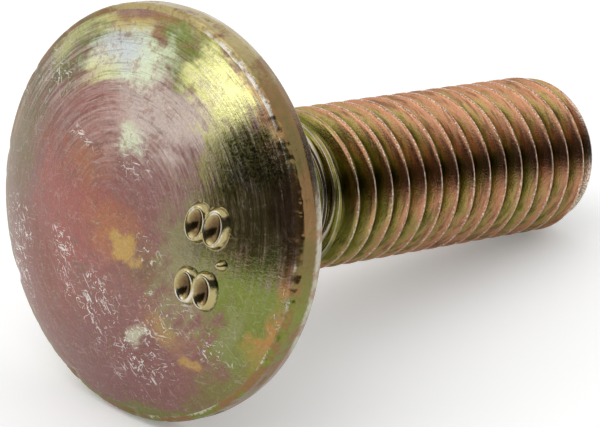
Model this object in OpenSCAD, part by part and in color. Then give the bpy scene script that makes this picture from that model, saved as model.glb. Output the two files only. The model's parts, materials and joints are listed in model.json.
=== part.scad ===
// Carriage bolt: domed head, square neck, rolled metric thread, rounded point.
// Forged and rolled from one piece of steel wire and plated. It lies as it comes to rest,
// on the edge of its head and on the last thread ridge, with its point towards +Y.

/* [Head] */
// Diameter of the head
head_d = 24.6; // [20:0.1:30]
// Height of the head, from the seat face to the top of the dome
head_h = 4.85; // [3.5:0.05:8]
// Height of the rim under the dome
rim_h = 1.8; // [1.4:0.1:2.8]
// Height of the bevel along the rim's rear edge
bevel_h = 0.7; // [0.3:0.05:0.9]
// Slope of that bevel, measured from the axis
bevel_tilt = 12.8; // [0:0.1:30]
// Rounding where the dome meets the rim
dome_edge_r = 0.3; // [0.1:0.05:0.5]
// Rounding where the bevel meets the seat face
seat_edge_r = 0.1; // [0.1:0.05:0.3]

/* [Neck] */
// Width of the square neck, flat to flat
neck_w = 10.2; // [9.8:0.1:12]
// Diameter over the neck's rounded corners
neck_corner_d = 13.2; // [12.1:0.1:14.4]
// Length of the neck, with the slope at its end
neck_h = 6; // [4:0.1:10]
// Slope of the neck's end, measured from the seat plane
neck_slope = 45; // [30:1:60]

/* [Shank and point] */
// Length of the bolt, from the seat face to the end of the point
bolt_len = 34.1; // [25:0.1:60]
// Plain shank between the neck and the first thread ridge
plain_len = 1.3; // [0.5:0.1:15]
// How far the plain shank stands over the thread's pitch line
blank_step = 0.05; // [0.02:0.01:0.15]
// Length of the rounded point
point_len = 2.2; // [0.5:0.1:2.4]
// Radius of the point's rounding
point_r = 2.5; // [2.5:0.1:8]

/* [Thread] */
// Outside diameter of the thread
thread_d = 9.9; // [9.2:0.05:10]
// Distance from one thread ridge to the next
pitch = 1.5; // [1:0.05:2]
// Length over which the thread grows to its full depth
runout_len = 3.5; // [1:0.1:6]
// Angle round the shank at which the thread starts
thread_angle = 206; // [0:1:359]

/* [Hidden] */

// How far a hidden end runs into what it grows out of
sunk = 1;

// Head: a spherical dome that would meet the rim's cylinder at the rim's height
dome_h = head_h - rim_h;
head_r = head_d / 2;
dome_r = (head_r * head_r + dome_h * dome_h) / (2 * dome_h);
dome_z = dome_r - head_h;

// Ball that rounds the dome's edge: it touches the dome and the rim from inside
ball_r = head_r - dome_edge_r;
ball_z = dome_z - sqrt(pow(dome_r - dome_edge_r, 2) - pow(ball_r, 2));
ball_tilt = asin(ball_r / (dome_r - dome_edge_r));

// Ball that rounds the rear edge: it touches the bevel and the seat face from inside
seat_r = head_r - bevel_h * tan(bevel_tilt);
corner_r = seat_r - seat_edge_r * (1 - sin(bevel_tilt)) / cos(bevel_tilt);

// Straight steps that each small rounding of the head is drawn with
edge_steps = 5;

// Thread: the basic metric profile, with 60 degree flanks, an eighth of a pitch of
// crest and a quarter of a pitch of root
flank = 30;
ridge_h = pitch * 5 / 8 * cos(flank);
root_half = pitch / 8;
foot = pitch / 2 - root_half;
crest_r = thread_d / 2;
root_r = crest_r - ridge_h;
pitch_r = crest_r - pitch * 3 / 8 * cos(flank);
blank_r = pitch_r + blank_step;

// Stations along each turn of the helix
facets = 40;

thread_z = neck_h + plain_len;
rod_z = thread_z - pitch;
rod_turns = ceil((bolt_len - rod_z) / pitch) + 1;
point_z = bolt_len - point_len;
slope_h = (neck_corner_d / 2 - blank_r) * tan(neck_slope);

// Resting pose: with the side at the angle down to the ground, the bolt tips until one
// of the ridges near the point touches the ground together with the rim
down = 90;
ridge_down_z = rod_z + pitch * (down - thread_angle) / 360;
last_turn = floor((point_z - ridge_down_z) / pitch);
tilt = min([for (turn = [last_turn - 1:last_turn + 1])
    touch(ridge(ridge_down_z + pitch * turn)[2])]);
rest_z = max(seat_edge_r - seat_edge_r * sin(tilt) + corner_r * cos(tilt),
    head_r * cos(tilt) - bevel_h * sin(tilt));
front_y = dome_z * cos(tilt) - dome_r;
back_y = bolt_len * cos(tilt) + envelope(bolt_len) * sin(tilt);

// Tilt at which a point of the shank, given as [radius, height], touches the ground: with
// the ball of the rim's rear edge or with the front edge of the bevel, whichever is first
function touch(p) =
    let (drop = corner_r - p[0], reach = p[1] + seat_edge_r)
    max(atan(drop / reach) + asin(seat_edge_r / sqrt(drop * drop + reach * reach)),
        atan((head_r - p[0]) / (p[1] + bevel_h)));

// Points on an arc about [x, y], from angle a0 to angle a1
function arc(x, y, r, a0, a1) =
    [for (i = [0:edge_steps]) let (a = a0 + (a1 - a0) * i / edge_steps)
        [x + r * cos(a), y + r * sin(a)]];

// Radius that the thread's ridges keep under, which falls away round the point
function envelope(z) =
    let (past = min(max(z - point_z, 0), point_r * 0.98))
    crest_r - point_r + sqrt(point_r * point_r - past * past);

// Share of the full depth that the thread has at this height
function depth(z) = min(max((z - thread_z) / runout_len, 0), 1);

function crest_at(z) = min(pitch_r + (crest_r - pitch_r) * depth(z), envelope(z));
function root_at(z) = min(pitch_r - (pitch_r - root_r) * depth(z), envelope(z));

// Half the width of the ridge's top, which grows as the ridge gets lower
function top_half(z) = foot - max(crest_at(z) - root_at(z), ridge_h / 4) * tan(flank);

// The ridge's profile where its middle is at height z: foot, top, top, foot
function ridge(z) =
    let (t = top_half(z))
    [[root_at(z - foot), z - foot], [crest_at(z - t), z - t],
     [crest_at(z + t), z + t], [root_at(z + foot), z + foot]];

// Square with rounded corners, cut by a cone at its end
module neck() {
    intersection() {
        translate([-neck_w / 2, -neck_w / 2, -sunk])
            cube([neck_w, neck_w, neck_h + sunk]);
        union() {
            translate([0, 0, -sunk])
                cylinder(d = neck_corner_d, h = neck_h - slope_h + sunk, $fn = 96);
            translate([0, 0, neck_h - slope_h])
                cylinder(d1 = neck_corner_d, d2 = 2 * blank_r, h = slope_h, $fn = 96);
        }
    }
}

// Half section of the head, turned about the axis: a true sphere, a rim and a flat seat
module head() {
    rotate_extrude($fn = 180)
        intersection() {
            translate([0, dome_z])
                circle(r = dome_r, $fn = 720);
            polygon(concat(
                [[0, -head_h - sunk], [ball_r, -head_h - sunk]],
                arc(ball_r, ball_z, dome_edge_r, ball_tilt - 90, 0),
                [[head_r, -bevel_h]],
                arc(corner_r, -seat_edge_r, seat_edge_r, bevel_tilt, 90),
                [[0, 0]]));
        }
}

// Threaded rod: the ridge's profile is carried along the helix, and each turn's foot
// joins the next turn's foot. Its first turn is smooth and hidden in the plain shank.
module threaded_rod() {
    last = rod_turns * facets;
    stations = [for (i = [0:last]) let (z = rod_z + pitch * i / facets) ridge(z)];
    rim = [for (i = [0:last], p = stations[i])
        let (a = thread_angle + 360 * i / facets) [p[0] * cos(a), p[0] * sin(a), p[1]]];
    start = len(rim);
    end = start + 1;
    points = concat(rim, [[0, 0, rod_z - pitch / 2], [0, 0, rod_z + pitch * (rod_turns + 0.5)]]);
    ridge_faces = [for (i = [0:last - 1], k = [0:2])
        let (p = 4 * i + k) each [[p, p + 1, p + 5], [p, p + 5, p + 4]]];
    root_faces = [for (i = [0:last - facets - 1])
        let (p = 4 * i + 3, q = 4 * (i + facets)) each [[p, q, q + 4], [p, q + 4, p + 4]]];
    start_faces = concat(
        [for (i = [0:facets - 1]) [start, 4 * i, 4 * i + 4]],
        [[start, 4 * facets, 3], [start, 3, 2], [start, 2, 1], [start, 1, 0]]);
    top = 4 * (last - facets);
    end_faces = concat(
        [for (i = [0:facets - 1]) [end, top + 4 * i + 7, top + 4 * i + 3]],
        [for (k = [0:2]) [end, 4 * last + k, 4 * last + k + 1]],
        [[end, top + 3, 4 * last]]);
    polyhedron(points, concat(ridge_faces, root_faces, start_faces, end_faces), convexity = 10);
}

// The whole bolt on its own axis: seat face at zero, point upwards
module upright_bolt() {
    head();
    neck();
    translate([0, 0, -sunk])
        cylinder(r = blank_r, h = thread_z + sunk, $fn = 96);
    intersection() {
        threaded_rod();
        cylinder(d = head_d, h = bolt_len, $fn = 96);
    }
}

module carriage_bolt() {
    color("darkkhaki")
        translate([0, -(front_y + back_y) / 2, rest_z])
            rotate([-90 - tilt, 0, 0])
                upright_bolt();
}

carriage_bolt();
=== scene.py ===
"""Looks of a carriage bolt in yellow chromated zinc plate, built on its packed CAD part.

Two pieces make the bolt: the forged part (domed head, square neck and plain shank) and the
rolled thread. Both are drawn in the bolt's own millimetres, where x points right, y down
and z along the axis from the seat under the head to the point, and are then put where the
CAD part lies.
"""
import json
from math import asin, ceil, cos, hypot, pi, radians, sin, sqrt, tan
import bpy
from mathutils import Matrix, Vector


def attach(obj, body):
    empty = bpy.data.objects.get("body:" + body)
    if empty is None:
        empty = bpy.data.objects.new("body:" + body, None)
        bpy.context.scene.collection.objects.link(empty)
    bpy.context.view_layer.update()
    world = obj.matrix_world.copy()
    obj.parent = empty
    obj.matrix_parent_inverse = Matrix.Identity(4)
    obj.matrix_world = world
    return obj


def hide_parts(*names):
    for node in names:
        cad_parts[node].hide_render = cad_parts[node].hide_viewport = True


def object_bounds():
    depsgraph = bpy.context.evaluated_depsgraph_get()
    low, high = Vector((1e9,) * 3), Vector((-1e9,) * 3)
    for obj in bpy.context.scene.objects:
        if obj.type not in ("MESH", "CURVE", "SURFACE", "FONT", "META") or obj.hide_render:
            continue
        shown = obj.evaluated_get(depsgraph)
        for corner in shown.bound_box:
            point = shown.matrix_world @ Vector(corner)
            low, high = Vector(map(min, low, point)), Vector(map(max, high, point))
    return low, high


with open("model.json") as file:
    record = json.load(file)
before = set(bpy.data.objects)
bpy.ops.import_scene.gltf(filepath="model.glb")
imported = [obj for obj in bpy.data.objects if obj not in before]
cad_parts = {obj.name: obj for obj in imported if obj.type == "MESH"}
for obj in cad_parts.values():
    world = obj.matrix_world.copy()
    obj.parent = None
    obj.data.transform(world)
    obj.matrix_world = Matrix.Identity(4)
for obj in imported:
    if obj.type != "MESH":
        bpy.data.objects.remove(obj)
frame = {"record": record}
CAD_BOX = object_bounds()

from types import SimpleNamespace

import bpy
import numpy as np
from bpy.props import FloatProperty, FloatVectorProperty, IntProperty, PointerProperty
from mathutils import Matrix, Vector, noise

bl_info = {
    "name": "Carriage bolt",
    "version": (1, 0, 0),
    "blender": (4, 5, 0),
    "location": "3D View > Sidebar > Bolt",
    "description": "Builds a yellow zinc plated carriage bolt and its studio",
    "category": "Object",
}

MM = 0.001
MOUNTS = {mount["name"]: mount for mount in frame["record"]["mounts"]}
AXIS = Vector(MOUNTS["thread"]["axis"]).normalized()
NECK = Vector(MOUNTS["square_neck"]["pos_m"])
SEAT = NECK + AXIS * (Vector(MOUNTS["head_seat"]["pos_m"]) - NECK).dot(AXIS)
TURN = pi / 2 + asin(-AXIS.z)
PLACE = Matrix.Translation(SEAT) @ Matrix.Rotation(-TURN, 4, "X") @ Matrix.Scale(MM, 4)

# Kinds of node that the trees below use often, some with their operation
NOISE, RAMP, MIX = "ShaderNodeTexNoise", "ShaderNodeMapRange", "ShaderNodeMix"
MATH, VECTOR = "ShaderNodeMath", "ShaderNodeVectorMath"
PLUS, MINUS, TIMES, OVER, TIMES_PLUS, MOST, LEAST = (
    f"{MATH} {operation}" for operation in
    ("ADD", "SUBTRACT", "MULTIPLY", "DIVIDE", "MULTIPLY_ADD", "MAXIMUM", "MINIMUM"))
SUM, SCALED, LENGTH = (f"{VECTOR} {operation}" for operation in ("ADD", "SCALE", "LENGTH"))


def linear(hex_colour):
    """The linear colour of an sRGB hex value, with full alpha."""
    parts = [int(hex_colour[i:i + 2], 16) / 255 for i in (1, 3, 5)]
    return [c / 12.92 if c <= 0.04045 else ((c + 0.055) / 1.055) ** 2.4 for c in parts] + [1]


def size(name, description, mm):
    """A length that a user may change, in metres."""
    return FloatProperty(name=name, description=description, default=mm * MM, min=0,
                         unit="LENGTH", subtype="DISTANCE", precision=5)


def slant(name, description, degrees):
    """An angle that a user may change."""
    return FloatProperty(name=name, description=description, default=radians(degrees),
                         unit="ROTATION", subtype="ANGLE")


def level(name, description, value):
    """A level of light that a user may change."""
    return FloatProperty(name=name, description=description, default=value)


def tint(name, description, hex_colour):
    """A colour that a user may change."""
    return FloatVectorProperty(name=name, description=description, subtype="COLOR", size=4,
                               min=0, max=1, default=linear(hex_colour))


class HeadSizes(bpy.types.PropertyGroup):
    """Sizes of the domed head, the square neck and the plain shank."""
    width: size("Head width", "Diameter of the head", (CAD_BOX[1][0] - CAD_BOX[0][0]) / MM)
    height: size("Head height", "From the seat face to the top of the dome", 4.85)
    rim: size("Rim height", "Height of the rim under the dome", 1.8)
    bevel: size("Bevel height", "Height of the bevel along the rim's rear edge", 0.7)
    bevel_tilt: slant("Bevel slope", "Slope of the rear bevel from the axis", 12.8)
    front_round: size("Front rounding", "Rounding where the dome meets the rim", 0.3)
    rear_round: size("Rear rounding", "Rounding where the bevel meets the seat face", 0.1)
    neck_width: size("Neck width", "Square neck, flat to flat", 10.2)
    neck_corners: size("Neck corners", "Diameter over the neck's rounded corners", 13.2)
    neck_length: size("Neck length", "Length of the neck with its sloping end", 6)
    neck_root: size("Neck root", "Radius between the seat face and the neck", 0.4)
    shank: size("Shank radius", "Radius of the plain shank", 4.513)
    shank_end: size("Shank end", "Where the plain shank ends, from the seat face", 7.3)
    mark_height: size("Mark height", "How far the strength class stands out", 0.38)
    mark_width: size("Mark stroke", "Width of the strokes of the strength class", 0.5)


class ThreadSizes(bpy.types.PropertyGroup):
    """Sizes of the rolled thread."""
    radius: size("Thread radius", "Outside radius over the ridges",
                 MOUNTS["thread"]["dims"]["r_mm"])
    pitch: size("Pitch", "From one ridge to the next", 1.5)
    start: size("Thread start", "Where the first ridge rises, from the seat face", 7.3)
    runout: size("Run-out", "Length over which the thread grows to full depth", 3.5)
    length: size("Bolt length", "From the seat face to the end of the point", 34.1)
    point: size("Point length", "Length of the rounded point", 2.2)
    point_round: size("Point rounding", "Radius of the point's rounding", 2.5)
    edge: size("Edge rounding", "Softness of the ridges' edges", 0.05)
    nicks: size("Nicks", "Depth of the nicks along the ridges", 0.025)
    angle: slant("Start angle", "Angle round the shank where the thread starts", 206)
    stations: IntProperty(name="Stations", description="Stations along each turn",
                          default=96, min=12)
    across: IntProperty(name="Across", description="Faces across one pitch", default=24, min=8)


class PlateTints(bpy.types.PropertyGroup):
    """Interference tints of the chromate film, and the bare zinc where it is worn off."""
    rose: tint("Rose", "Broad rose field of the dome", "#916B62")
    pearl: tint("Pearl", "Pale streaks where the turning marks are worn", "#DACABF")
    straw: tint("Straw", "Tops of the raised figures", "#B9AA78")
    heart: tint("Heart", "Redder middle of the rose field", "#A2645C")
    mauve: tint("Mauve", "Purple rose towards the bottom", "#8A6260")
    olive: tint("Olive", "Greyed olive of the dome's left side", "#70663F")
    green: tint("Green", "Green band at the right", "#75823A")
    moss: tint("Moss", "Greyed green round the strength class", "#8F8D66")
    lime: tint("Lime", "Brightest yellow green", "#EBE99C")
    gold: tint("Gold", "Gold patches", "#B8965A")
    orange: tint("Orange", "Orange near the rim", "#B07C4B")
    russet: tint("Russet", "Red brown beside the rim", "#6E4432")
    # The two silvery blue tints are film colour made pale as a painted highlight, where the top of
    # the dome would mirror a bright light
    ice_and_highlight: tint("Ice", "Silvery blue patch", "#E6F2CC")
    sky_and_highlight: tint("Sky", "Bluish middle of the silvery patch", "#CCD2E0")
    copper: tint("Copper", "Pink copper of the thread's flanks", "#BC8867")
    citron: tint("Citron", "Yellow green between the thread's roots and ridges", "#A8995A")
    brass: tint("Brass", "Yellow olive of the thread's roots", "#72702F")
    umber: tint("Umber", "Brown of the rim's side", "#8A6C48")
    zinc: tint("Zinc", "Bare zinc where the film is worn", "#ECEAE2")
    # This dark colour is dirt in the figures' hollows and in the rolling streaks, and also painted
    # shade under the head, round the feet of the figures, in the thread's roots and in a band
    # along the thread
    grime_and_shade: tint("Grime", "Dark specks in pits", "#3A2F22")


class StudioSettings(bpy.types.PropertyGroup):
    """The pale floor, the soft light round the bolt and the camera."""
    floor: tint("Floor", "Colour of the floor", "#FAFAFA")
    floor_radius: size("Floor radius", "Radius of the round floor", 110)
    floor_lift: level("Floor lift", "How much whiter the floor is seen", 0.2)
    light: level("Light", "Level of the light all round", 1.0)
    window: level("Window", "Level of the brighter window", 2.6)
    lamp: level("Lamp", "Level of the wide lamp above", 1.6)
    shade: level("Shade", "Level of the dark side of the studio", 0.05)
    eye: FloatVectorProperty(name="Camera place", description="Where the camera stands",
                             subtype="TRANSLATION", unit="LENGTH", precision=5,
                             default=(0.1576318, -0.1631993, 0.1188907))
    azimuth: slant("Camera azimuth", "Turn of the camera about the vertical", 44.6439)
    elevation: slant("Camera elevation", "How far the camera looks down", 26.3436)
    lens: FloatProperty(name="Lens", description="Focal length in millimetres on a 36 mm sensor",
                        default=247.97, unit="CAMERA")


def add(tree, kind, *feeds, **settings):
    """Adds a node of a kind, which may end in the node's operation, with its settings. Each
    feed goes to the node's next input, and a dict of feeds to the inputs that it names. A
    feed is a value, a socket, or a node, which stands for its first output in use."""
    kind, _, operation = kind.partition(" ")
    node = tree.nodes.new(kind)
    if operation:
        node.operation = operation
    for name, value in settings.items():
        setattr(node, name, value)
    pairs = []
    for index, feed in enumerate(feeds):
        if isinstance(feed, dict):
            pairs += [(next(s for s in node.inputs if s.name == name and s.enabled), value)
                      for name, value in feed.items()]
        else:
            pairs.append((node.inputs[index], feed))
    for socket, value in pairs:
        if isinstance(value, bpy.types.Node):
            value = next(s for s in value.outputs if s.enabled)
        if isinstance(value, bpy.types.NodeSocket):
            tree.links.new(value, socket)
        else:
            socket.default_value = value
    return node


def new_object(name, mesh):
    """A new object in the scene that holds this mesh."""
    piece = bpy.data.objects.new(name, mesh)
    bpy.context.scene.collection.objects.link(piece)
    return piece


def finish_piece(piece):
    """Makes the piece ride on the bolt's body and stand for its CAD node."""
    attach(piece, "root")
    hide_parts("carriage_bolt")


def start_plate(name, **noises):
    """A metal material on the bolt's own millimetres. Returns it with its tree and what its
    patterns read: the point, x, y, z, the distance from the axis, the direction round the
    axis, and noises, each given as its cells in a millimetre, detail and roughness, and
    distortion if it has any."""
    material = bpy.data.materials.new(name)
    material.use_nodes = True
    tree = material.node_tree
    tree.nodes.clear()
    turned = Matrix.Rotation(TURN, 4, "X") @ (SEAT / MM)
    point = add(tree, "ShaderNodeMapping", {
        "Vector": add(tree, "ShaderNodeTexCoord").outputs["Object"], "Location": -turned,
        "Rotation": (TURN, 0, 0), "Scale": (1 / MM,) * 3})
    x, y, z = add(tree, "ShaderNodeSeparateXYZ", point).outputs
    flat = add(tree, "ShaderNodeCombineXYZ", x, y)
    here = SimpleNamespace(point=point, x=x, y=y, z=z, flat=flat,
                           radius=add(tree, LENGTH, flat).outputs["Value"],
                           round=add(tree, VECTOR, flat, operation="NORMALIZE"))
    for pattern, values in noises.items():
        kept = dict(zip(("Scale", "Detail", "Roughness", "Distortion"), values))
        setattr(here, pattern, add(tree, NOISE, {"Vector": point, **kept}))
    return material, tree, here


def end_plate(tree, colour, roughness, height):
    """Closes the material: colour, roughness and a relief in millimetres drive the metal."""
    relief = add(tree, "ShaderNodeBump", {"Height": height, "Distance": MM, "Strength": 1.0})
    metal = add(tree, "ShaderNodeBsdfPrincipled", {
        "Base Color": colour, "Roughness": roughness, "Normal": relief, "Metallic": 1.0})
    add(tree, "ShaderNodeOutputMaterial", {"Surface": metal})


def coats(tree, colour, *layers):
    """The colour with further coats over it. A coat is its colour and its share, or a pattern
    and the values at which the share is nothing and at its most, and what that most is."""
    for over, share, *growth in layers:
        if growth:
            nothing, full, most = growth
            share = add(tree, RAMP, share, nothing, full, 0.0, most)
        colour = add(tree, MIX, {"Factor": share, "A": colour, "B": over}, data_type="RGBA")
    return colour


def spot(tree, here, centre, radii, turn, soft, strength):
    """Mask of an oval patch on the flattened dome: its strength inside, fading out over its
    ragged edge."""
    place = add(tree, "ShaderNodeMapping", {
        "Vector": here.ground, "Location": (*centre, 0), "Rotation": (0, 0, radians(turn)),
        "Scale": (*radii, 1)}, vector_type="TEXTURE")
    away = add(tree, PLUS, add(tree, LENGTH, place).outputs["Value"], here.ragged)
    return add(tree, RAMP, away, 1 + soft, 1 - soft, 0.0, strength,
               interpolation_type="SMOOTHSTEP")


def arc_streaks(tree, here, side, fine):
    """Noise drawn out along circles round the axis, as turning, rolling and tumbling leave
    it; fine is the number of streaks in a millimetre of the side, the radius or the height."""
    along = add(tree, SCALED, here.round, {"Scale": 2.6})
    across = add(tree, "ShaderNodeCombineXYZ", 0.0, 0.0, add(tree, TIMES, side, fine))
    return add(tree, NOISE, {"Vector": add(tree, SUM, along, across), "Scale": 1.0,
                             "Detail": 3.0, "Roughness": 0.7})


# Patches of the chromate film on the dome: tint, centre and radii in millimetres, turn in
# degrees, softness of the edge, strength. Later patches lie over earlier ones. The silvery
# blue patches also stand for a painted highlight.
DOME_PATCHES = [
    ("olive", (-10.9, -3.0), (3.0, 6.4), 0, 0.5, 0.8),
    ("umber", (-12.4, -2.0), (1.5, 8.0), 0, 0.5, 0.5),
    ("heart", (-2.8, -0.2), (4.4, 3.0), 10, 0.6, 0.75),
    ("orange", (-3.2, -2.6), (1.8, 1.2), 0, 0.8, 0.35),
    ("orange", (0.4, 0.5), (1.7, 1.4), 0, 0.8, 0.4),
    ("mauve", (2.2, -2.4), (2.4, 1.8), 0, 0.6, 0.6),
    ("olive", (3.2, 2.0), (1.6, 1.4), 0, 0.6, 0.45),
    ("mauve", (0.5, 8.4), (7.4, 3.2), 0, 0.6, 0.6),
    ("moss", (6.0, 0.2), (2.0, 4.4), 8, 0.5, 0.8),
    ("green", (7.2, 0.6), (0.9, 1.6), 10, 0.6, 0.55),
    ("heart", (-6.5, 5.2), (3.8, 3.2), 30, 0.6, 0.6),
    ("russet", (-8.0, 5.4), (5.0, 3.0), 48, 0.7, 0.55),
    ("pearl", (1.6, -6.8), (4.6, 2.2), -8, 0.6, 0.7),
    ("heart", (-3.4, -5.6), (3.0, 1.6), 0, 0.6, 0.5),
    ("olive", (-7.6, -8.4), (4.0, 2.4), -42, 0.5, 0.9),
    ("green", (-7.0, -8.6), (2.4, 1.0), -38, 0.5, 0.6),
    ("gold", (-1.0, -10.8), (4.6, 0.9), 0, 0.5, 0.7),
    ("orange", (1.0, -11.6), (3.2, 0.8), 4, 0.5, 0.85),
    ("rose", (-4.0, -11.8), (3.0, 0.6), -18, 0.5, 0.6),
    ("green", (2.0, -11.0), (3.6, 0.8), 10, 0.5, 0.7),
    ("lime", (-7.8, -8.8), (2.2, 0.9), -40, 0.6, 0.4),
    ("lime", (-3.4, -10.5), (2.4, 0.6), -10, 0.6, 0.4),
    ("lime", (2.4, -10.9), (2.0, 0.5), 10, 0.6, 0.4),
    ("green", (2.2, -10.0), (3.0, 1.5), 14, 0.4, 0.85),
    ("ice_and_highlight", (-2.2, -8.8), (3.0, 1.3), -12, 0.6, 0.95),
    ("sky_and_highlight", (-3.0, -9.0), (1.6, 0.9), -12, 0.8, 0.7),
    ("lime", (-4.2, -7.6), (1.3, 0.8), -20, 0.6, 0.6),
    ("ice_and_highlight", (0.3, -4.9), (1.0, 0.8), 0, 0.6, 0.7),
    ("ice_and_highlight", (2.2, 6.6), (0.8, 0.8), 0, 0.6, 0.45),
    ("green", (3.2, -9.8), (2.0, 0.8), 38, 0.5, 0.75),
    ("lime", (5.0, -9.3), (2.7, 1.7), 38, 0.5, 1.0),
    ("lime", (6.2, -6.4), (0.9, 2.0), -12, 0.6, 0.55),
    ("orange", (8.7, -8.2), (0.75, 3.2), -46, 0.5, 0.85),
    ("citron", (9.4, -3.4), (3.2, 4.6), -16, 0.5, 0.8),
    ("green", (7.6, -5.9), (1.5, 1.5), -12, 0.6, 0.6),
    ("green", (9.9, 3.2), (2.6, 4.1), 0, 0.4, 0.9),
    ("moss", (8.9, 4.8), (0.9, 1.8), 10, 0.6, 0.6),
    ("gold", (10.6, 5.8), (0.7, 2.2), 15, 0.6, 0.45),
    ("green", (8.6, 8.6), (1.5, 3.4), 45, 0.8, 0.6),
    ("green", (2.8, 11.5), (4.6, 0.9), -14, 0.4, 0.7),
    ("orange", (11.6, 3.4), (0.8, 3.6), 10, 0.4, 0.85),
    ("pearl", (8.3, -4.7), (1.1, 0.35), 20, 0.8, 0.4),
    ("russet", (11.4, -3.2), (1.0, 4.4), -16, 0.5, 0.7),
    ("gold", (1.5, 1.4), (1.15, 0.65), 28, 0.4, 0.95),
    ("gold", (6.4, 7.2), (0.7, 0.5), 0, 0.5, 0.8),
    ("gold", (4.6, 5.4), (1.6, 0.9), 20, 0.7, 0.45),
]

# Clusters of scratches through to the zinc: centre, radii and strength
SCRATCH_CLUSTERS = [
    ((-8.4, -6.4), (1.9, 1.3), 0.9),
    ((-9.8, 4.7), (1.8, 2.5), 1.0),
    ((-8.6, 6.8), (1.2, 1.2), 0.9),
    ((-4.0, 3.6), (0.9, 1.4), 0.9),
    ((-1.0, 5.8), (1.8, 1.8), 0.9),
    ((2.6, 7.6), (1.9, 2.2), 0.9),
    ((4.4, 4.6), (1.6, 1.2), 0.7),
    ((7.8, 6.0), (1.0, 0.7), 1.0),
    ((-3.6, -3.6), (1.5, 0.5), 0.9),
    ((0.8, -3.9), (1.2, 1.2), 0.8),
    ((3.0, 0.9), (0.8, 1.2), 0.7),
    ((-11.2, -4.2), (0.7, 0.8), 0.9),
    ((4.4, -10.2), (0.5, 0.8), 0.8),
    ((11.4, 2.6), (0.35, 2.2), 1.0),
]


def strokes(tree, here, turn):
    """Short straight scratches in one direction, each about 0.15 mm wide and 1 mm long."""
    place = add(tree, "ShaderNodeMapping", {
        "Vector": here.point, "Rotation": (0, 0, radians(turn)),
        "Scale": (0.15, 1.2, 1.2)}, vector_type="TEXTURE")
    fine = add(tree, NOISE, {"Vector": place, "Scale": 1.0, "Detail": 2.0, "Roughness": 0.6})
    return add(tree, RAMP, fine, 0.64, 0.69)


def edge_wear_and_highlight(tree, here):
    """How much further the front edge is worn at the upper right and at the bottom of the
    head than beside the figures, in millimetres. The further bare zinc there is also a painted
    highlight."""
    top = add(tree, RAMP, here.y, -6.5, -9.0, 0.0, 0.08)
    left = add(tree, RAMP, here.x, 3.0, -2.0, 0.0, 0.3)
    bottom = add(tree, RAMP, here.y, 9.0, 11.5, 0.0, 0.02)
    return add(tree, PLUS, add(tree, MINUS, top, left), bottom)


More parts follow.
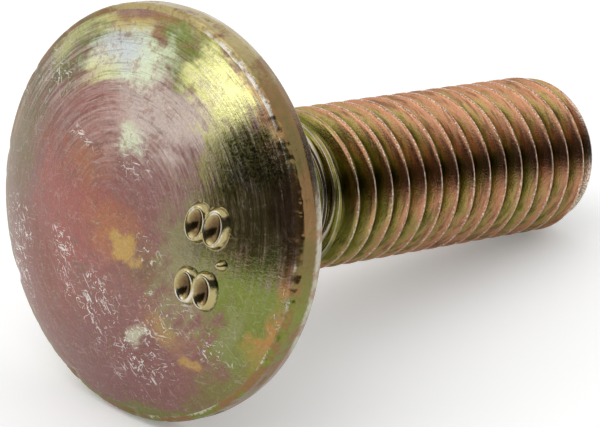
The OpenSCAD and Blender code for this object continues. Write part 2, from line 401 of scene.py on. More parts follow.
def dome_plate(tints, sizes):
    """Zinc plate passivated in yellow chromate, on a turned and tumbled dome.
    The chromate film is thinner than a wavelength, so it shows rose, green and gold by
    interference, in patches; tumbling among other bolts has scratched it through to the zinc."""
    material, tree, here = start_plate(
        "yellow chromated zinc plate, tumbled dome",
        wander=(0.38, 2, 0.5), mottle=(1, 5, 0.66), pits=(3.4, 3, 0.6), grain=(6.5, 3, 0.7),
        paths=(0.9, 2, 0.6, 0.3), scuffs=(2.3, 4, 0.8, 0.8))
    # Film edges wander by about a millimetre and are ragged along the turning marks
    shift = add(tree, SUM, here.wander.outputs["Color"], (-0.5, -0.5, -0.5))
    shift = add(tree, SUM, here.flat, add(tree, SCALED, shift, {"Scale": 3.0}))
    here.ground = add(tree, VECTOR, shift, (1, 1, 0), operation="MULTIPLY")
    streaks = arc_streaks(tree, here, here.radius, 2.4)
    here.ragged = add(tree, TIMES_PLUS, add(tree, PLUS, here.mottle, streaks), 1.7, -1.7)

    # Turning marks, drawn about 0.15 mm apart, deepest in the upper half and at the right
    upper = add(tree, RAMP, here.y, -1.0, -6.0, 0.08, 1.0)
    right = add(tree, TIMES, add(tree, RAMP, here.x, 5.0, 7.5, 0.0, 0.8),
                add(tree, RAMP, here.y, 0.5, 3.0, 1.0, 0.15))
    marks = add(tree, RAMP, arc_streaks(tree, here, here.radius, 6.0), 0.42, 0.66)
    marks = add(tree, TIMES, marks, add(tree, MOST, upper, right))
    marks = add(tree, TIMES, marks, add(tree, RAMP, here.mottle, 0.4, 0.56, 0.4, 1.0))

    # Where the marks are worn the film is pale, with crisp rosy stains among them; rubbed
    # olive lies between the patches
    pale = add(tree, TIMES, add(tree, RAMP, here.x, 5.0, 8.0, 0.6, 0.3),
               add(tree, RAMP, here.y, -8.5, -10.5, 1.0, 0.35))
    stains = add(tree, RAMP, add(tree, TIMES_PLUS, here.pits, 0.5, here.mottle), 0.8, 0.83)
    among = add(tree, TIMES, add(tree, RAMP, here.y, 0.0, -4.0, 0.0, 0.22),
                add(tree, RAMP, here.x, 4.5, 2.5))
    colour = coats(
        tree, tints.rose, (tints.mauve, here.mottle, 0.42, 0.64, 1.0),
        *((getattr(tints, name), spot(tree, here, *patch)) for name, *patch in DOME_PATCHES),
        (tints.olive, add(tree, PLUS, here.pits, here.mottle), 1.04, 1.2, 0.3),
        (tints.pearl, add(tree, TIMES, marks, pale)),
        (tints.heart, add(tree, TIMES, stains, among)))

    # Dirt has stayed in the finest turning marks of the upper half
    furrows = add(tree, RAMP, arc_streaks(tree, here, here.radius, 9.0), 0.47, 0.38, 0.0, 0.26)
    tone = add(tree, TIMES_PLUS, here.grain, 0.6, 0.64)
    tone = add(tree, MINUS, tone, add(tree, TIMES, furrows, upper))
    colour = add(tree, SCALED, colour, {"Scale": tone})
    # Black specks at the upper right of the dome
    black_specks = add(tree, TIMES, spot(tree, here, (8.3, -5.8), (2.0, 1.5), 0, 0.6, 1.0),
               add(tree, RAMP, here.grain, 0.49, 0.54, 0.0, 0.85))

    # Scratches, faint outside the clusters: curved ones are the broken contour lines of a
    # noise, and straight ones run in two directions
    clusters = 0.11
    for centre, radii, strength in SCRATCH_CLUSTERS:
        clusters = add(tree, MOST, clusters, spot(tree, here, centre, radii, 0, 0.6, strength))
    line = add(tree, MATH, here.paths, 0.5, 0.011, operation="COMPARE")
    line = add(tree, TIMES, line, add(tree, RAMP, here.pits, 0.48, 0.52))
    scuffs = add(tree, TIMES_PLUS, clusters, 0.05, here.scuffs)
    scratches = add(tree, MOST, line, add(tree, RAMP, scuffs, 0.64, 0.67))
    for turn in (-40, 80):
        scratches = add(tree, MOST, scratches, strokes(tree, here, turn))
    scratches = add(tree, TIMES, scratches, clusters)

    # The raised figures are rubbed to pale gold, with painted shade as a dark line round their
    # feet, and their hollows are soiled; the front edge is rubbed bare here and there, most at
    # the upper right and the bottom, where the bare zinc is also a painted highlight
    raised = add(tree, "ShaderNodeAttribute", attribute_name="raised").outputs["Fac"]
    hollow = add(tree, "ShaderNodeAttribute", attribute_name="hollow").outputs["Fac"]
    figure = add(tree, MOST, raised, hollow)
    edge = add(tree, TIMES_PLUS, here.mottle, 1.4, here.radius)
    edge = add(tree, TIMES_PLUS, here.wander, 0.8, edge)
    edge = add(tree, PLUS, edge, edge_wear_and_highlight(tree, here))
    rim_line = sizes.width / 2 / MM
    colour = coats(
        tree, colour, (tints.grime_and_shade, black_specks),
        (tints.zinc, add(tree, TIMES, scratches, 0.85)),
        # Painted shade: a dark line round the feet of the figures
        (tints.grime_and_shade, figure, 0.0, 0.04, 0.6),
        (tints.straw, add(tree, TIMES_PLUS, here.pits, 0.9, figure), 0.55, 0.9, 0.85),
        (tints.umber, hollow, 0.1, 0.4, 0.85),
        (tints.grime_and_shade, add(tree, TIMES_PLUS, here.grain, 0.8, hollow), 0.5, 1.1, 0.75),
        (tints.zinc, add(tree, TIMES_PLUS, streaks, 1.2, raised), 1.5, 1.7, 0.6),
        (tints.zinc, edge, rim_line + 1.22, rim_line + 1.34, 0.75))

    # How far each pattern stands out, in millimetres, and how much it roughens the plate
    height, rough = 0.0, 0.15
    for pattern, relief in ((marks, 0.004), (here.grain, 0.005), (here.pits, 0.005),
                            (scratches, -0.006)):
        height = add(tree, TIMES_PLUS, pattern, relief, height)
    for pattern, more in ((marks, 0.14), (scratches, 0.3)):
        rough = add(tree, TIMES_PLUS, pattern, more, rough)
    end_plate(tree, colour, rough, height)
    return material


def rim_plate(tints, sizes):
    """The same plate on the rim, where the header's die left it smoother: umber with straw,
    olive and green clouds from top to bottom, rubbed to pale zinc in places at both edges. At
    the front edge's upper right and bottom the pale zinc is also a painted highlight."""
    material, tree, here = start_plate("yellow chromated zinc plate, rim",
                                       wander=(0.5, 5, 0.65), grain=(4, 4, 0.7))
    clouds = coats(tree, tints.olive, (tints.green, here.y, -1.0, 2.0, 1.0),
                   (tints.straw, here.y, -9.5, -11.5, 1.0))
    cloudy = add(tree, PLUS, add(tree, RAMP, here.y, -9.5, -11.5, 0.0, 0.1), here.wander)
    # Pale zinc on the bevel and on the front edge, both ragged and missing in places; on the
    # front edge it is more at the upper right and the bottom, as a painted highlight
    ragged = add(tree, TIMES_PLUS, here.grain, 0.5, here.z)
    bevel_line, front_line = -sizes.bevel / MM, -sizes.rim / MM
    rear = add(tree, RAMP, ragged, bevel_line + 0.22, bevel_line + 0.5)
    kept = add(tree, PLUS, here.wander, add(tree, RAMP, here.y, -9.0, -1.0, -0.1, 0.0))
    rear = add(tree, TIMES, rear, add(tree, RAMP, kept, 0.42, 0.56, 0.05, 0.42))
    wear_and_highlight = edge_wear_and_highlight(tree, here)
    front = add(tree, RAMP, add(tree, MINUS, ragged, wear_and_highlight), front_line + 0.12,
                front_line + 0.02, 0.0, 0.75)
    kept = add(tree, PLUS, here.wander, wear_and_highlight)
    front = add(tree, TIMES, front, add(tree, RAMP, kept, 0.48, 0.57, 0.05, 1.0))
    colour = coats(tree, tints.umber, (clouds, cloudy, 0.48, 0.58, 0.8),
                   (tints.zinc, add(tree, MOST, rear, front)))
    tone = add(tree, TIMES_PLUS, here.grain, 0.6, 0.7)
    colour = add(tree, SCALED, colour, {"Scale": tone})
    end_plate(tree, colour, 0.24, add(tree, TIMES, here.grain, 0.012))
    return material


# Fine rings that the thread rolling die leaves beside the thread: the heights between which
# they lie and the distance from one to the next, in millimetres
RINGED = (6.1, 9.8)
RING_SPACING = 0.3


def end_ringed(tree, here, tints, colour, grit, roughness):
    """Closes a material of the shank: its die rings are paler and stand out with the grain."""
    low, high = RINGED
    rings = add(tree, TIMES, here.z, 2 * pi / RING_SPACING)
    rings = add(tree, RAMP, add(tree, MATH, rings, operation="SINE"), -0.2, 1.0)
    rings = add(tree, TIMES, rings, add(tree, RAMP, here.z, low, low + 0.3))
    rings = add(tree, TIMES, rings, add(tree, RAMP, here.z, high, high - 0.6))
    height = add(tree, TIMES_PLUS, here.grain, grit, rings)
    end_plate(tree, coats(tree, colour, (tints.pearl, rings, 0.3, 0.9, 0.5)), roughness,
              add(tree, TIMES, height, 0.04))


def neck_plate(tints):
    """The plate under the head, on the neck and the plain shank: less handled, so the film
    is whole, olive with gold and rose clouds, and shade is painted in as a dark colour towards
    the seat face under the head."""
    material, tree, here = start_plate("yellow chromated zinc plate, neck",
                                       clouds=(0.32, 4, 0.6), grain=(5, 4, 0.7))
    # Painted shade: a dark colour darkens the plate towards the seat face under the head, and a
    # little all over
    shade_under_head = add(tree, TIMES_PLUS, here.grain, -2.0, here.z)
    colour = coats(tree, tints.brass, (tints.gold, here.clouds, 0.38, 0.52, 1.0),
                   (tints.copper, here.clouds, 0.52, 0.64, 1.0),
                   (tints.grime_and_shade, add(tree, RAMP, shade_under_head, 0.0, -1.0, 0.2, 0.85)))
    end_ringed(tree, here, tints, colour, 0.2, 0.24)
    return material


def thread_plate(tints, sizes):
    """The plate on the rolled thread: dull brass in the roots, yellow then pink copper up
    the flanks, and zinc in a broken line along the ridges where nuts and other bolts have
    rubbed."""
    material, tree, here = start_plate("yellow chromated zinc plate, rolled thread",
                                       clouds=(0.35, 4, 0.62), grain=(9, 4, 0.75))
    rise = add(tree, "ShaderNodeAttribute", attribute_name="rise").outputs["Fac"]
    end = sizes.length / MM
    # The film thins towards the ridge, the point and the upper side, which turns it from
    # olive through yellow green to pink copper
    along = add(tree, RAMP, here.z, 8.0, 20.0, -0.65, -0.15)
    film = add(tree, TIMES_PLUS, here.clouds, 2.2, along)
    film = add(tree, TIMES_PLUS, rise, 1.05, film)
    film = add(tree, MINUS, film, add(tree, RAMP, here.y, -1.0, 4.0, 0.0, 0.25))
    # Rolling leaves fine streaks round the shank, and dirt has stayed in them
    streaks = add(tree, RAMP, arc_streaks(tree, here, here.z, 9.0), 0.5, 0.38, 0.0, 0.5)
    streaks = add(tree, TIMES, streaks, add(tree, RAMP, here.z, end - 0.2, end - 0.7))
    # Painted shade: specks darken a band along the upper right side
    band = add(tree, TIMES, add(tree, RAMP, here.x, 1.4, 2.4), add(tree, RAMP, here.x, 4.0, 3.2))
    specks = add(tree, TIMES, add(tree, RAMP, here.grain, 0.5, 0.6, 0.0, 0.4), band)
    # The point's rounding is rubbed bare in a broken ring, and each ridge in a broken line
    tip = add(tree, TIMES, add(tree, RAMP, here.z, end - 1.25, end - 1.1),
              add(tree, RAMP, here.z, end - 0.55, end - 0.75))
    tip = add(tree, TIMES, tip, add(tree, RAMP, here.grain, 0.44, 0.52, 0.0, 0.75))
    colour = coats(
        tree, tints.brass, (tints.citron, film, 0.85, 1.3, 1.0),
        (tints.copper, film, 1.15, 1.7, 1.0),
        # Painted shade: the roots are darkened
        (tints.grime_and_shade, add(tree, TIMES_PLUS, here.grain, 0.5, rise), 0.55, 0.2, 0.8),
        (tints.grime_and_shade, streaks), (tints.grime_and_shade, specks),
        (tints.zinc, add(tree, TIMES_PLUS, here.grain, 0.8, rise), 1.42, 1.47, 0.75),
        (tints.zinc, tip))
    # Painted shade: below the top of the shank the colour is darkened, most in a band just above
    # the axis; the grain varies it too
    tone = add(tree, TIMES_PLUS, here.grain, 1.1, 0.5)
    for start, stop, lit in ((-2.4, -1.6, 0.74), (-0.6, 0.6, 1.24)):
        tone = add(tree, TIMES, tone, add(tree, RAMP, here.y, start, stop, 1.0, lit))
    end_ringed(tree, here, tints, add(tree, SCALED, colour, {"Scale": tone}), 0.3, 0.12)
    return material


def arc(centre_r, centre_z, radius, start, end, steps):
    """Points (distance from the axis, height) on an arc, angles in radians."""
    angles = np.linspace(start, end, steps + 1)
    return [(centre_r + radius * cos(a), centre_z + radius * sin(a)) for a in angles]


def soft_min(a, b, soft):
    """The lesser of two lengths, with the corner between them rounded."""
    near = np.maximum(soft - np.abs(a - b), 0) / soft
    return np.minimum(a, b) - near * near * soft / 4


def neck_outline(s, angle, z):
    """Distance of the neck's wall from the axis at an angle and a height: a square, cut by
    the corner circle and by the cone at the neck's end."""
    flat = s["neck_width"] / 2 / np.maximum(np.abs(np.cos(angle)), np.abs(np.sin(angle)))
    cone = s["shank"] + s["neck_length"] - z
    return soft_min(soft_min(flat, s["neck_corners"] / 2, 0.3), cone, 0.3)


# Strokes of the strength class 8.8, a plain number of the bolt standard. The figures stand
# with their tops to the left: rings by centre and half widths, and the point between them.
MARK_RINGS = [
    ((6.1, -1.72), (0.56, 0.94)), ((7.26, -1.7), (0.56, 0.98)),
    ((6.0, 2.1), (0.55, 0.9)), ((7.14, 2.12), (0.55, 0.96)),
]
MARK_POINT = (7.95, 0.33)

# Distances from the axis between which those strokes lie
MARK_ZONE = (5.1, 8.6)


def mark_rise(s, x, y):
    """How far the raised strength class stands out of the dome at a point, as a share of its
    full height, and how far inside a figure's ring the point lies. The hollow of each figure
    is a round bowl up to its stroke."""
    away = np.maximum(np.hypot(x - MARK_POINT[0], y - MARK_POINT[1]) - 0.06, 0)
    hollow = np.zeros(len(x))
    bowl = np.zeros(len(x))
    for (cx, cy), (rx, ry) in MARK_RINGS:
        u, v = (x - cx) / rx, (y - cy) / ry
        ring = np.hypot(u, v)
        # Distance to the oval, by its value over its slope
        slope = np.hypot(u / rx, v / ry) / np.maximum(ring, 1e-6)
        away = np.minimum(away, np.abs(ring - 1) / np.maximum(slope, 1e-6))
        hollow = np.maximum(hollow, 1 - ring)
        bowl = np.where(ring < 1, np.maximum(bowl, ring ** 1.8), bowl)
    off = np.clip(away / (s["mark_width"] / 2), 0, 1)
    return np.maximum((1 - off * off) ** 0.8, bowl), hollow


def head_rings(s, segments):
    """The forged part's rings from the top of the dome to the end of the plain shank, each
    as distances from the axis and heights all round, with the material that follows it.
    Also how far each point of the dome's rings is raised and how far it lies in a figure's
    hollow, both from 0 to 1. Angles and rings are closest together round the strength class."""
    angle = np.arange(segments) * 2 * pi / segments
    angle = angle - 0.4 * np.sin(angle)
    head_r, edge, rear = s["width"] / 2, s["front_round"], s["rear_round"]
    crown = s["height"] - s["rim"]
    dome_r = (head_r ** 2 + crown ** 2) / (2 * crown)
    dome_z = dome_r - s["height"]
    ball_r = head_r - edge
    ball_z = dome_z - sqrt((dome_r - edge) ** 2 - ball_r ** 2)
    ball_turn = asin(ball_r / (dome_r - edge))
    rings, raised, sunk = [], [], []
    inner, outer = MARK_ZONE
    spacing = np.concatenate((np.linspace(0, inner, 22)[1:], np.linspace(inner, outer, 66)[1:],
                              np.linspace(outer, dome_r * sin(ball_turn), 18)[1:-1]))
    for r in spacing:
        z = dome_z - sqrt(dome_r ** 2 - r ** 2)
        rise, hollow = mark_rise(s, r * np.cos(angle), r * np.sin(angle))
        rings.append((np.full(segments, r), z - rise * s["mark_height"], 0))
        raised.append(rise)
        sunk.append(hollow)
    seat_r = head_r - s["bevel"] * tan(s["bevel_tilt"])
    corner_r = seat_r - rear * (1 - sin(s["bevel_tilt"])) / cos(s["bevel_tilt"])
    side = arc(ball_r, ball_z, edge, ball_turn - pi / 2, 0, 6)
    side += [(head_r, z) for z in np.linspace(ball_z, -s["bevel"], 9)[1:]]
    corner = arc(corner_r, -rear, rear, s["bevel_tilt"], pi / 2, 4)
    side += [tuple(p) for p in np.linspace((head_r, -s["bevel"]), corner[0], 6)[1:-1]] + corner
    rings += [(np.full(segments, r), np.full(segments, z), 1) for r, z in side]
    root = s["neck_root"]
    foot = neck_outline(s, angle, 0) + root
    for share in np.linspace(0, 1, 9)[1:-1]:
        rings.append((corner_r + (foot - corner_r) * share, np.zeros(segments), 2))
    for a in np.linspace(0, pi / 2, 6)[:-1]:
        rings.append((foot - root * sin(a), np.full(segments, root * (1 - cos(a))), 2))
    for z in np.linspace(root, s["neck_length"], 26):
        rings.append((neck_outline(s, angle, z), np.full(segments, z), 2))
    for z in np.linspace(s["neck_length"], s["shank_end"], 5)[1:]:
        rings.append((np.full(segments, s["shank"]), np.full(segments, z), 2))
    return angle, rings, {"raised": np.concatenate(raised), "hollow": np.concatenate(sunk)}


def ring_mesh(name, angle, rings, top, bottom):
    """A closed mesh over rings, from a pole at height top to a pole at height bottom."""
    n = len(angle)
    points = [np.column_stack((r * np.cos(angle), r * np.sin(angle), z)) for r, z, _ in rings]
    points = np.vstack([[[0, 0, top]]] + points + [[[0, 0, bottom]]])
    first, last = 0, len(points) - 1
    here = np.arange(n)
    after = (here + 1) % n
    faces = [(first, 1 + b, 1 + a) for a, b in zip(here, after)]
    kinds = [rings[0][2]] * n
    for k in range(len(rings) - 1):
        a, b = 1 + k * n + here, 1 + k * n + after
        faces += list(zip(a, b, b + n, a + n))
        kinds += [rings[k + 1][2]] * n
    base = last - n
    faces += [(last, base + a, base + b) for a, b in zip(here, after)]
    kinds += [rings[-1][2]] * n
    mesh = bpy.data.meshes.new(name)
    mesh.from_pydata(points.tolist(), [], [tuple(int(i) for i in f) for f in faces])
    mesh.polygons.foreach_set("material_index", kinds)
    mesh.transform(PLACE)
    mesh.shade_smooth()
    mesh.set_sharp_from_angle(angle=radians(50))
    return mesh


# Nicks along the rim: cells of their noise in a millimetre, the value of the noise above
# which a nick begins, and their depth in millimetres
NICKS = ((1.3, 0.18, 0.16), (3.1, 0.3, 0.1))


def nick_edges(mesh, sizes):
    """Small dents along the front edge of the rim, left by other bolts in the drum."""
    to_mm, to_metres = PLACE.inverted(), PLACE.to_3x3()
    edge_r, edge_z = sizes["width"] / 2 - 0.45, -sizes["bevel"] - 0.4
    for vertex in mesh.vertices:
        p = to_mm @ vertex.co
        r = hypot(p.x, p.y)
        if r < edge_r or p.z > edge_z:
            continue
        dent = sum(max(noise.noise(p * cells) - start, 0) * depth for cells, start, depth in NICKS)
        vertex.co += to_metres @ (Vector((-p.x / r, -p.y / r, 0.6)) * dent)


# Points round each ring of the forged part, and corners of the round floor
STATIONS = 512
FLOOR_CORNERS = 96


class BOLT_OT_forged_part(bpy.types.Operator):
    """Build the domed head with its raised strength class, the square neck and the shank"""
    bl_idname = "bolt.forged_part"
    bl_label = "Forged part"

    def execute(self, context):
        group = context.scene.bolt_head
        sizes = {name: getattr(group, name) / MM for name in HeadSizes.__annotations__}
        sizes["bevel_tilt"] = group.bevel_tilt
        angle, rings, marks = head_rings(sizes, STATIONS)
        mesh = ring_mesh("head_and_neck", angle, rings, -sizes["height"], sizes["shank_end"])
        for name, shares in marks.items():
            marked = np.zeros(len(mesh.vertices))
            marked[1:len(shares) + 1] = shares
            mesh.attributes.new(name, "FLOAT", "POINT").data.foreach_set("value", marked)
        nick_edges(mesh, sizes)
        tints = context.scene.bolt_tints
        for material in (dome_plate(tints, group), rim_plate(tints, group), neck_plate(tints)):
            mesh.materials.append(material)
        finish_piece(new_object("head_and_neck", mesh))
        return {"FINISHED"}


def thread_tree(material):
    """The thread as a rule: a grid wound round the axis, one strip for each turn, whose
    distance from the axis is the ridge's profile. Both ends close in flat discs."""
    tree = bpy.data.node_groups.new("rolled thread", "GeometryNodeTree")
    for name in ("Radius", "Pitch", "Start", "Run-out", "Length", "Point", "Point rounding",
                 "Edge rounding", "Nicks", "Start angle", "Turns", "Stations", "Across"):
        kind = "NodeSocketInt" if name in ("Turns", "Stations", "Across") else "NodeSocketFloat"
        tree.interface.new_socket(name, in_out="INPUT", socket_type=kind)
    tree.interface.new_socket("Thread", in_out="OUTPUT", socket_type="NodeSocketGeometry")
    given = add(tree, "NodeGroupInput").outputs
    pitch, start, length = given["Pitch"], given["Start"], given["Length"]
    rounding = given["Point rounding"]

    columns = add(tree, TIMES_PLUS, given["Turns"], given["Stations"], 1.0)
    rows = add(tree, PLUS, given["Across"], 1.0)
    grid = add(tree, "GeometryNodeMeshGrid", 1.0, 1.0, columns, rows)
    on_grid = add(tree, "ShaderNodeSeparateXYZ", add(tree, "GeometryNodeInputPosition")).outputs
    turn = add(tree, TIMES, add(tree, PLUS, on_grid[0], 0.5), given["Turns"])

    # Heights: the first turn and a half lie hidden in the shank and close the start
    first = add(tree, TIMES_PLUS, pitch, -2.0, start)
    open_at = add(tree, TIMES_PLUS, pitch, -0.5, start)
    z = add(tree, TIMES_PLUS, add(tree, PLUS, turn, on_grid[1]), pitch, first)
    height = add(tree, LEAST, add(tree, MOST, z, open_at), length)

    # Where the height lies between two ridges: 0 on a ridge, 0.5 in a root
    phase = add(tree, OVER, add(tree, MINUS, height, first), pitch)
    phase = add(tree, MATH, add(tree, MINUS, phase, turn), 0.5, -0.5, operation="WRAP")
    phase = add(tree, MATH, phase, operation="ABSOLUTE")

    # Basic metric profile: 60 degree flanks through the pitch line, a crest of an eighth
    # and a root of a quarter of the pitch
    lean = radians(30)
    pitch_line = add(tree, TIMES_PLUS, pitch, -3 / 8 * cos(lean), given["Radius"])
    flank = add(tree, TIMES, add(tree, MINUS, 0.25, phase), 1 / tan(lean))
    flank = add(tree, TIMES_PLUS, flank, pitch, pitch_line)
    full = add(tree, OVER, add(tree, MINUS, height, start), given["Run-out"], use_clamp=True)
    full = add(tree, TIMES, full, pitch)
    crest = add(tree, TIMES_PLUS, full, 3 / 8 * cos(lean), pitch_line)
    root = add(tree, TIMES_PLUS, full, -1 / 4 * cos(lean), pitch_line)

    # The rounded point covers ridges and roots alike
    past = add(tree, PLUS, add(tree, MINUS, given["Point"], length), height)
    past = add(tree, LEAST, add(tree, MOST, past, 0.0), add(tree, TIMES, rounding, 0.98))
    whole, gone = (add(tree, MATH, side, 2.0, operation="POWER") for side in (rounding, past))
    cover = add(tree, MATH, add(tree, MINUS, whole, gone), operation="SQRT")
    cover = add(tree, PLUS, cover, add(tree, MINUS, given["Radius"], rounding))
    crest = add(tree, LEAST, crest, cover)
    root = add(tree, LEAST, root, cover)
    wall = add(tree, MATH, flank, crest, given["Edge rounding"], operation="SMOOTH_MIN")
    wall = add(tree, MATH, wall, root, given["Edge rounding"], operation="SMOOTH_MAX")

    # Nicks bite into the ridges only
    rise = add(tree, OVER, add(tree, MINUS, wall, root), pitch)
    rise = add(tree, TIMES, rise, 8 / 5 / cos(lean))
    angle = add(tree, TIMES_PLUS, turn, 2 * pi, given["Start angle"])
    outward = add(tree, "ShaderNodeCombineXYZ", add(tree, MATH, angle, operation="COSINE"),
                  add(tree, MATH, angle, operation="SINE"), 0.0)
    upward = add(tree, "ShaderNodeCombineXYZ", 0.0, 0.0, height)
    wound = add(tree, SUM, add(tree, SCALED, outward, {"Scale": given["Radius"]}), upward)
    dents = add(tree, NOISE, {"Vector": wound, "Scale": 1.6, "Detail": 3.0})
    dents = add(tree, TIMES, add(tree, RAMP, dents, 0.56, 0.75), given["Nicks"])
    dents = add(tree, TIMES, dents, add(tree, MATH, rise, 3.0, operation="POWER"))
    wall = add(tree, MINUS, wall, dents)

    # Discs at both ends: the strip runs on and its radius shrinks to nothing
    for near, far in ((open_at, z), (z, length)):
        reach = add(tree, OVER, add(tree, MINUS, far, near), pitch)
        wall = add(tree, TIMES, wall, add(tree, PLUS, reach, 1.0, use_clamp=True))

    place = add(tree, SUM, add(tree, SCALED, outward, {"Scale": wall}), upward)
    marked = add(tree, "GeometryNodeStoreNamedAttribute", {
        "Geometry": grid, "Name": "rise", "Value": rise}, data_type="FLOAT", domain="POINT")
    moved = add(tree, "GeometryNodeSetPosition", {"Geometry": marked, "Position": place})
    joined = add(tree, "GeometryNodeMergeByDistance", {"Geometry": moved, "Distance": 0.0005})
    real = add(tree, "GeometryNodeRealizeInstances", {"Geometry": joined})
    made = add(tree, "GeometryNodeSetMaterial", {"Geometry": real, "Material": material})
    add(tree, "NodeGroupOutput", {"Thread": made})
    return tree


class BOLT_OT_rolled_thread(bpy.types.Operator):
    """Wind the rolled thread from its run-out to the rounded point"""
    bl_idname = "bolt.rolled_thread"
    bl_label = "Rolled thread"

    def execute(self, context):
        s = context.scene.bolt_thread
        tree = thread_tree(thread_plate(context.scene.bolt_tints, s))
        turns = ceil((s.length - s.start) / s.pitch + 3.5)
        values = {
            "Radius": s.radius / MM, "Pitch": s.pitch / MM, "Start": s.start / MM,
            "Run-out": s.runout / MM, "Length": s.length / MM, "Point": s.point / MM,
            "Point rounding": s.point_round / MM, "Edge rounding": s.edge / MM,
            "Nicks": s.nicks / MM, "Start angle": s.angle, "Turns": turns,
            "Stations": s.stations, "Across": s.across,
        }
        carrier = new_object("thread_carrier", bpy.data.meshes.new("thread_carrier"))
        modifier = carrier.modifiers.new("thread", "NODES")
        modifier.node_group = tree
        for item in tree.interface.items_tree:
            if item.item_type == "SOCKET" and item.in_out == "INPUT":
                modifier[item.identifier] = values[item.name]
        depsgraph = context.evaluated_depsgraph_get()
        mesh = bpy.data.meshes.new_from_object(carrier.evaluated_get(depsgraph))
        bpy.data.objects.remove(carrier)
        mesh.name = "thread"
        if not mesh.polygons:
            raise RuntimeError("The thread came out empty")
        mesh.transform(PLACE)
        if volume(mesh) < 0:
            mesh.flip_normals()
        mesh.shade_smooth()
        mesh.set_sharp_from_angle(angle=radians(55))
        finish_piece(new_object("thread", mesh))
        return {"FINISHED"}


def volume(mesh):
    """The volume that a closed mesh encloses, negative where its faces point inwards."""
    mesh.calc_loop_triangles()
    points = np.empty(len(mesh.vertices) * 3)
    mesh.vertices.foreach_get("co", points)
    corners = np.empty(len(mesh.loop_triangles) * 3, int)
    mesh.loop_triangles.foreach_get("vertices", corners)
    a, b, c = points.reshape(-1, 3)[corners.reshape(-1, 3)].swapaxes(0, 1)
    return float(np.einsum("ij,ij->i", a, np.cross(b, c)).sum()) / 6


def zone(tree, turn, rise, left, right, low, high, blur):
    """Mask of a part of the surroundings, by its bounds and the blur of its edge in degrees."""
    mask = 1.0
    for way, bound, inwards in ((turn, left, blur), (turn, right, -blur),
                                (rise, low, blur), (rise, high, -blur)):
        side = add(tree, RAMP, way, radians(bound - inwards), radians(bound + inwards),
                   interpolation_type="SMOOTHSTEP")
        mask = add(tree, TIMES, mask, side)
    return mask


# Parts of the studio that aren't lit white: left, right, low and high bounds and the blur in
# degrees, seen from the bolt, with 0 straight before its head and 90 on its right
DARK_ROOM = [(-15, 13, -6, 31, 2.5), (11, 124, -3, 37, 3), (148, 184, -12, 12, 3)]
BRIGHT_WINDOW = (-27, -6, 31, 37, 2)
LAMP_ABOVE = (-70, 40, 50, 82, 4)


def light_world(world, settings):
    """Soft white light from all round, with one brighter window and the dark room behind the
    camera, which the polished dome and the shank mirror. The camera itself sees plain white."""
    world.use_nodes = True
    tree = world.node_tree
    tree.nodes.clear()
    way = add(tree, "ShaderNodeSeparateXYZ", add(tree, "ShaderNodeTexCoord").outputs["Generated"])
    turn = add(tree, MATH, way.outputs[0], add(tree, TIMES, way.outputs[1], -1.0),
               operation="ARCTAN2")
    rise = add(tree, MATH, way.outputs[2], operation="ARCSINE")
    dark = 0.0
    for bounds in DARK_ROOM:
        dark = add(tree, MOST, dark, zone(tree, turn, rise, *bounds))
    lit = add(tree, RAMP, dark, 0.0, 1.0, settings.light, settings.shade)
    for share, strength in (
            (zone(tree, turn, rise, *BRIGHT_WINDOW), settings.window),
            (zone(tree, turn, rise, *LAMP_ABOVE), settings.lamp),
            (add(tree, "ShaderNodeLightPath").outputs["Is Camera Ray"], 1.0)):
        lit = add(tree, MIX, {"Factor": share, "A": lit, "B": strength}, data_type="FLOAT")
    light = add(tree, "ShaderNodeBackground", (1, 1, 1, 1), lit)
    add(tree, "ShaderNodeOutputWorld", {"Surface": light})


def floor_paper(settings):
    """Matt white paper, which scatters light evenly. It is lifted to white for what the
    camera, metal and glass see of it, and keeps the bolt's shadow."""
    paper = bpy.data.materials.new("matt white paper")
    paper.use_nodes = True
    tree = paper.node_tree
    tree.nodes.clear()
    sheet = add(tree, "ShaderNodeBsdfDiffuse", {"Color": settings.floor})
    ray = add(tree, "ShaderNodeLightPath").outputs
    seen = add(tree, PLUS, ray["Is Camera Ray"], ray["Is Glossy Ray"])
    seen = add(tree, PLUS, seen, ray["Is Transmission Ray"], use_clamp=True)
    glow = add(tree, "ShaderNodeEmission", (1, 1, 1, 1),
               add(tree, TIMES, seen, settings.floor_lift))
    both = add(tree, "ShaderNodeAddShader", sheet, glow)
    add(tree, "ShaderNodeOutputMaterial", {"Surface": both})
    return paper


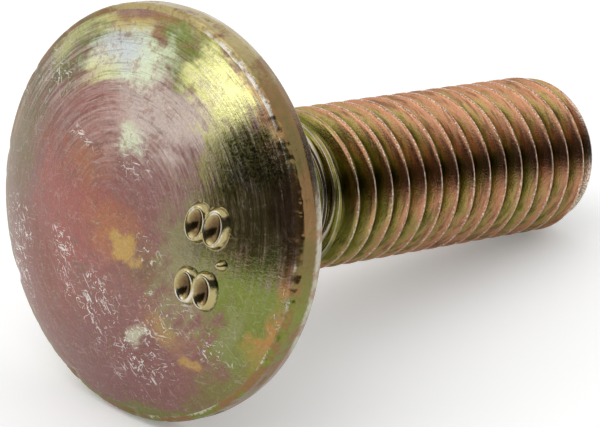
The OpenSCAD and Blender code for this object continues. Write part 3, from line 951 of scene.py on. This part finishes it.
class BOLT_OT_studio(bpy.types.Operator):
    """Set the pale floor, the soft light and the camera"""
    bl_idname = "bolt.studio"
    bl_label = "Studio"

    def execute(self, context):
        scene = context.scene
        s = scene.bolt_studio
        mesh = bpy.data.meshes.new("floor")
        turn = np.arange(FLOOR_CORNERS) * 2 * pi / FLOOR_CORNERS
        mesh.from_pydata([(s.floor_radius * cos(a), s.floor_radius * sin(a), 0) for a in turn],
                         [], [tuple(range(FLOOR_CORNERS))])
        floor = new_object("floor", mesh)
        mesh.materials.append(floor_paper(s))

        if scene.world is None:
            scene.world = bpy.data.worlds.new("studio")
        light_world(scene.world, s)
        scene.view_settings.view_transform = "Standard"

        lens = bpy.data.cameras.new("camera")
        lens.lens, lens.sensor_width = s.lens, 36
        camera = bpy.data.objects.new("camera", lens)
        camera.location = s.eye
        camera.rotation_euler = (pi / 2 - s.elevation, 0, s.azimuth)
        scene.collection.objects.link(camera)
        scene.camera = camera
        return {"FINISHED"}


class BOLT_PT_panel(bpy.types.Panel):
    """Buttons and sizes in the 3D view's sidebar"""
    bl_label = "Carriage bolt"
    bl_idname = "BOLT_PT_panel"
    bl_space_type = "VIEW_3D"
    bl_region_type = "UI"
    bl_category = "Bolt"

    def draw(self, context):
        for operator in OPERATORS:
            self.layout.operator(operator.bl_idname)
        for attribute, group in SETTINGS.items():
            box = self.layout.box()
            box.label(text=group.__doc__)
            for name in group.__annotations__:
                box.prop(getattr(context.scene, attribute), name)


SETTINGS = {"bolt_head": HeadSizes, "bolt_thread": ThreadSizes, "bolt_tints": PlateTints,
            "bolt_studio": StudioSettings}
OPERATORS = (BOLT_OT_forged_part, BOLT_OT_rolled_thread, BOLT_OT_studio)


def register():
    for cls in (*SETTINGS.values(), *OPERATORS, BOLT_PT_panel):
        bpy.utils.register_class(cls)
    for attribute, group in SETTINGS.items():
        setattr(bpy.types.Scene, attribute, PointerProperty(type=group))


def unregister():
    for attribute in SETTINGS:
        delattr(bpy.types.Scene, attribute)
    for cls in (BOLT_PT_panel, *reversed(OPERATORS), *reversed(SETTINGS.values())):
        bpy.utils.unregister_class(cls)


def main():
    register()
    bpy.ops.bolt.forged_part()
    bpy.ops.bolt.rolled_thread()
    bpy.ops.bolt.studio()


if __name__ == "__main__":
    main()
